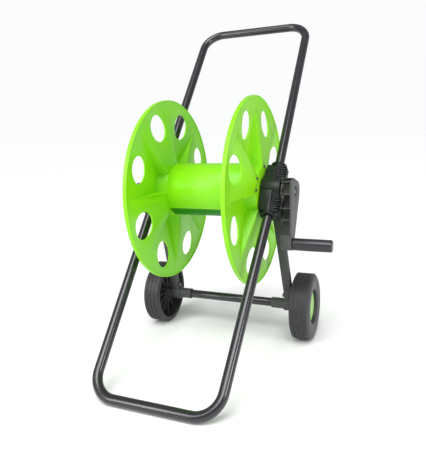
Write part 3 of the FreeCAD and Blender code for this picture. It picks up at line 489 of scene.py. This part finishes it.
def bent_tube(node, run, rise, bar_half):
    """One U of tube from hub to hub, by its bar's place behind and above the reel's axis."""
    far = math.hypot(run, rise)
    share = TUBE_START / far
    start = (HUB_X + (bar_half - HUB_X) * share, run * share, AXIS_Z + rise * share)
    corner = (bar_half, run, AXIS_Z + rise)
    points = [start, corner, (-corner[0], *corner[1:]), (-start[0], *start[1:])]
    sizes = {"Tube radius": TUBE_RADIUS, "Corner radius": CORNER_RADIUS, "Facets": TUBE_FACETS}
    mesh = grown(tube_net.tree, points, [(0, 1), (1, 2), (2, 3)], sizes, tube_black)
    print(node, len(mesh.polygons), "faces, corners at", [round(number, 3) for number in corner])
    place_piece(node + "_swept", mesh, node, sharp=60.0)


for node, bar in ARMS.items():
    bent_tube(node, *bar)

# %% [markdown]
# ## The wheels
# Each wheel is one hard moulding: a tyre with a block tread, a smooth outer side with a deep
# recess, and a hollow inner side stiffened by webs. The round part is turned from its section,
# like wood on a lathe. The blocks and the webs repeat, so a tree places them.

# %% Turned shapes
def turned(profile, centre_y, centre_z, side=1.0, steps=128):
    """A ring-shaped mesh turned about a line along X from a closed section of (x, radius) in mm."""
    points, faces = [], []
    count = len(profile)
    for step in range(steps):
        angle = 2.0 * math.pi * step / steps
        for x, radius in profile:
            out_y, out_z = radius * MM * math.cos(angle), radius * MM * math.sin(angle)
            points.append((side * x * MM, centre_y + out_y, centre_z + out_z))
    for step in range(steps):
        after = (step + 1) % steps
        for corner in range(count):
            following = (corner + 1) % count
            faces.append((step * count + corner, step * count + following,
                          after * count + following, after * count + corner))
    mesh = bpy.data.meshes.new("turned")
    mesh.from_pydata(points, [], faces)
    work = bmesh.new()
    work.from_mesh(mesh)
    bmesh.ops.remove_doubles(work, verts=work.verts, dist=0.001 * MM)
    bmesh.ops.recalc_face_normals(work, faces=work.faces)
    work.to_mesh(mesh)
    work.free()
    return mesh


def corners_rounded(profile, radius, steps=3):
    """A closed section with each corner cut to a small arc no larger than its edges allow."""
    smooth = []
    for here in range(len(profile)):
        point = Vector(profile[here])
        before = Vector(profile[here - 1]) - point
        after = Vector(profile[(here + 1) % len(profile)]) - point
        reach = min(radius, before.length * 0.4, after.length * 0.4)
        start, end = point + before.normalized() * reach, point + after.normalized() * reach
        for step in range(steps):
            share = step / (steps - 1)
            smooth.append(tuple(start.lerp(point, share).lerp(point.lerp(end, share), share)))
    return smooth


print("a section can be turned, with its corners rounded")

# %% [markdown]
# The tyre's section lists points from the wheel's inner face outward. One block tree makes both
# the tread and the webs: four rows of drafted blocks, or one row of tall thin ones.

# %% Tyre, tread blocks and webs
AXLE_Y, WHEEL_RADIUS = 84.0 * MM, 71.5 * MM
WHEEL_INNER_X = 154.0  # mm, and so are the numbers of the section
TREAD_FLOOR = 69.6
wheel_section = [
    (30.0, 6.1), (30.0, 12.0), (24.0, 12.0), (24.0, 37.0), (38.5, 37.0), (40.5, 39.0), (41.8, 46.0),
    (42.9, 56.0), (42.2, 63.0), (39.5, 68.6), (37.0, TREAD_FLOOR), (3.0, TREAD_FLOOR),
    (0.8, 68.0), (0.0, 65.5), (0.0, 61.5), (6.0, 60.5), (35.0, 61.0), (39.0, 56.0), (36.5, 41.0),
    (21.0, 40.0), (21.0, 12.0), (0.0, 12.0), (0.0, 6.1),
]
wheel_section = corners_rounded([(WHEEL_INNER_X + x, radius) for x, radius in wheel_section], 0.8)

block_net, block_in, close_blocks = new_tree("tread", {
    "Radius": float, "First row": float, "Row pitch": float, "Rows": int, "Blocks": int,
    "Block wide": float, "Block long": float, "Block high": float})
total = block_in["Rows"] * block_in["Blocks"]
spots = block_net.add("GeometryNodePoints", {}, {"Count": total})
index = block_net.add("GeometryNodeInputIndex")
row = block_net.add("ShaderNodeMath", {"operation": "FLOOR"}, {0: index / block_in["Blocks"]})
turn_share = (index % block_in["Blocks"] + 0.5 * (row % 2.0)) / block_in["Blocks"]
angle = 2.0 * math.pi * turn_share
out_y = block_net.add("ShaderNodeMath", {"operation": "COSINE"}, {0: angle})
out_z = block_net.add("ShaderNodeMath", {"operation": "SINE"}, {0: angle})
spot = block_net.add("ShaderNodeCombineXYZ", {}, {
    "X": block_in["First row"] + row * block_in["Row pitch"],
    "Y": AXLE_Y + block_in["Radius"] * out_y, "Z": WHEEL_RADIUS + block_in["Radius"] * out_z})
placed = block_net.add("GeometryNodeSetPosition", {}, {"Geometry": spots, "Position": spot})
size = block_net.add("ShaderNodeCombineXYZ", {}, {
    "X": block_in["Block wide"], "Y": block_in["Block high"], "Z": block_in["Block long"]})
block = block_net.add("GeometryNodeMeshCube", {}, {"Size": size})
here = block_net.add("GeometryNodeInputPosition")
split = block_net.add("ShaderNodeSeparateXYZ", {}, {"Vector": here})
DRAFT = 0.16  # how much narrower a block is at its top than at its foot
taper = 1.0 - DRAFT * (split.other("Y") / block_in["Block high"] + 0.5)
drawn = block_net.add("ShaderNodeCombineXYZ", {}, {
    "X": split * taper, "Y": split.other("Y"), "Z": split.other("Z") * taper})
drafted = block_net.add("GeometryNodeSetPosition", {}, {"Geometry": block, "Position": drawn})
facing = block_net.add("ShaderNodeCombineXYZ", {}, {"X": angle})
copies = block_net.add("GeometryNodeInstanceOnPoints", {}, {
    "Points": placed, "Instance": drafted, "Rotation": facing})
close_blocks(copies)

TREAD_ROWS = (160.2 * MM, 187.8 * MM)  # the middles of the two outermost rows
TREADS = {
    "Rows": 4, "Blocks": 84, "Row pitch": 9.2 * MM, "Block wide": 8.3 * MM, "Block long": 3.7 * MM,
    "Block high": 3.0 * MM, "Radius": WHEEL_RADIUS - 1.56 * MM,
}
WEB_X = 171.0 * MM
WEBS = {
    "Rows": 1, "Blocks": 12, "Row pitch": 0.0, "Block wide": 9.0 * MM, "Block long": 2.4 * MM,
    "Block high": 50.0 * MM, "Radius": 36.5 * MM,
}
for side, sign in (("right", 1.0), ("left", -1.0)):
    first_row = min(sign * TREAD_ROWS[0], sign * TREAD_ROWS[1])
    tread = grown(block_net.tree, [(0, 0, 0)], [], {**TREADS, "First row": first_row}, wheel_grey)
    webs = grown(block_net.tree, [(0, 0, 0)], [], {**WEBS, "First row": sign * WEB_X}, wheel_grey)
    whole = bmesh.new()
    for part in (turned(wheel_section, AXLE_Y, WHEEL_RADIUS, sign), tread, webs):
        whole.from_mesh(part)
    mesh = bpy.data.meshes.new(f"wheel_{side}_moulding")
    whole.to_mesh(mesh)
    whole.free()
    mesh.materials.clear()
    mesh.materials.append(wheel_grey)
    place_piece(f"wheel_{side}_moulding", mesh, f"wheel_{side}", sharp=34.0)
    print(side, "wheel:", len(tread.polygons) // 6, "blocks,", len(mesh.polygons), "faces")
    softened(f"wheel_cap_{side}", 0.2)

# %% [markdown]
# ## The grip
# The grip is a plain sleeve that turns on a pin, with a small chamfer round its open end. It is
# turned from its section too, with more steps round each corner than CAD needs.

# %% Grip
GRIP_Y, GRIP_Z = -28.667 * MM, 236.029 * MM
grip_section = [
    (176.6, 4.15), (176.6, 10.9), (178.0, 12.0), (250.4, 12.0), (252.4, 10.6), (252.4, 9.0),
    (251.6, 8.3), (243.6, 8.3), (243.6, 4.15),
]
sleeve = turned(corners_rounded(grip_section, 0.9, 4), GRIP_Y, GRIP_Z, steps=72)
sleeve.materials.append(grip_black)
place_piece("grip_sleeve", sleeve, "crank_grip")
print("grip at", GRIP_Y, GRIP_Z)

# %% [markdown]
# ## Screws
# The screws are pan heads with a cross recess. One head is modelled with care and a tree sets a
# copy on every seat, turned to its own direction, so all of them stay alike.

# %% One screw head
DOME = ((0.18, 0.74), (0.36, 0.72), (0.56, 0.67), (0.76, 0.58), (0.92, 0.42), (1.0, 0.2),
        (1.0, 0.0))
RECESS_FLOOR, CROSS_HALF, CROSS_REACH = 0.2, 0.12, 0.6
SHANK = ((0.5, 0.0), (0.5, -1.6))


def screw_head(steps=32):
    """A domed head 1 m in radius, pointing up Z, with a cross-shaped recess and a plain shank.
    The dome and the shank are lists of rings: a radius and a height."""
    points = [(0.0, 0.0, RECESS_FLOOR)]
    for radius, height in DOME + SHANK:
        on_dome = (radius, height) in DOME
        for step in range(steps):
            angle = 2.0 * math.pi * step / steps
            across, along = radius * math.cos(angle), radius * math.sin(angle)
            narrow = min(abs(across), abs(along)) < CROSS_HALF
            in_cross = on_dome and narrow and radius < CROSS_REACH
            points.append((across, along, RECESS_FLOOR if in_cross else height))
    faces = [(0, 1 + step, 1 + (step + 1) % steps) for step in range(steps)]
    starts = [1 + ring * steps for ring in range(len(DOME + SHANK))]
    for inner, outer in zip(starts, starts[1:]):
        for step in range(steps):
            after = (step + 1) % steps
            faces.append((inner + step, outer + step, outer + after, inner + after))
    faces.append([starts[-1] + step for step in range(steps)])
    mesh = bpy.data.meshes.new("screw_head")
    mesh.from_pydata(points, [], faces)
    work = bmesh.new()
    work.from_mesh(mesh)
    bmesh.ops.recalc_face_normals(work, faces=work.faces)
    work.to_mesh(mesh)
    work.free()
    return bpy.data.objects.new("screw_head", mesh)


head = screw_head()
screw_net, screw_in, close_screws = new_tree("screws", {"Head": "object", "Head radius": float})
one_head = screw_net.add("GeometryNodeObjectInfo", {}, {"Object": screw_in["Head"]}, out="Geometry")
named = {"data_type": "FLOAT_VECTOR"}
way = screw_net.add("GeometryNodeInputNamedAttribute", named, {"Name": "way"})
aimed = screw_net.add("FunctionNodeAlignRotationToVector", {"axis": "Z"}, {"Vector": way})
seated = screw_net.add("GeometryNodeInstanceOnPoints", {}, {
    "Points": screw_net.add("GeometryNodeMeshToPoints", {}, {"Mesh": screw_in["Geometry"]}),
    "Instance": one_head, "Rotation": aimed, "Scale": screw_in["Head radius"]})
close_screws(seated)
print("one screw head has", len(head.data.polygons), "faces")


def screws(name, seats, radius, node, finish):
    """Equal screws on seats of (place, way the head points)."""
    ways = [way for place, way in seats]
    values = {"Head": head, "Head radius": radius}
    mesh = grown(screw_net.tree, [place for place, way in seats], [], values, finish, {"way": ways})
    print(name, len(seats), "screws of", round(2000 * radius, 1), "mm")
    place_piece(name, mesh, node, sharp=30.0)


# %% [markdown]
# Eight screws hold each flange to the drum, two in each low panel. Two more hold the tubes in each
# hub, one in each socket. A seat is a place and the way its head points.

# %% Every screw's seat
FLANGE_SEAT_X, FLANGE_SEAT_CIRCLE = 110.08 * MM, 49.5 * MM
LOW_PANELS, FROM_MIDDLE = (68.2, 158.2, 248.2, 338.2), 13.5  # degrees
HUB_SEAT_ALONG, HUB_SEAT_OUT = 55.2, 14.3  # mm from the hub's middle
FLANGE_HEAD, HUB_HEAD = 3.3 * MM, 3.4 * MM


def arm_way(sign, run, rise, bar_half):
    """The way from a hub's middle along one of its arms, and the way straight out of that arm."""
    along = Vector((sign * (bar_half - HUB_X), run, rise)).normalized()
    out = Vector((sign, 0.0, 0.0))
    return along, (out - along * out.dot(along)).normalized()


for side, sign in (("right", 1.0), ("left", -1.0)):
    seats = []
    for middle in LOW_PANELS:
        for angle in (math.radians(middle - FROM_MIDDLE), math.radians(middle + FROM_MIDDLE)):
            behind = FLANGE_SEAT_CIRCLE * math.cos(angle)
            above = FLANGE_SEAT_CIRCLE * math.sin(angle)
            seat = Vector((sign * FLANGE_SEAT_X, behind, AXIS_Z + above))
            seats.append((seat, Vector((sign, 0.0, 0.0))))
    screws(f"flange_screws_{side}_set", seats, FLANGE_HEAD, f"flange_screws_{side}", dark_zinc)
    seats = []
    for bar in ARMS.values():
        along, out = arm_way(sign, *bar)
        hub_middle = Vector((sign * HUB_X, 0.0, AXIS_Z))
        seats.append((hub_middle + along * HUB_SEAT_ALONG * MM + out * HUB_SEAT_OUT * MM, out))
    screws(f"hub_screws_{side}_set", seats, HUB_HEAD, f"hub_screws_{side}", dark_zinc)
bpy.data.objects.remove(head)
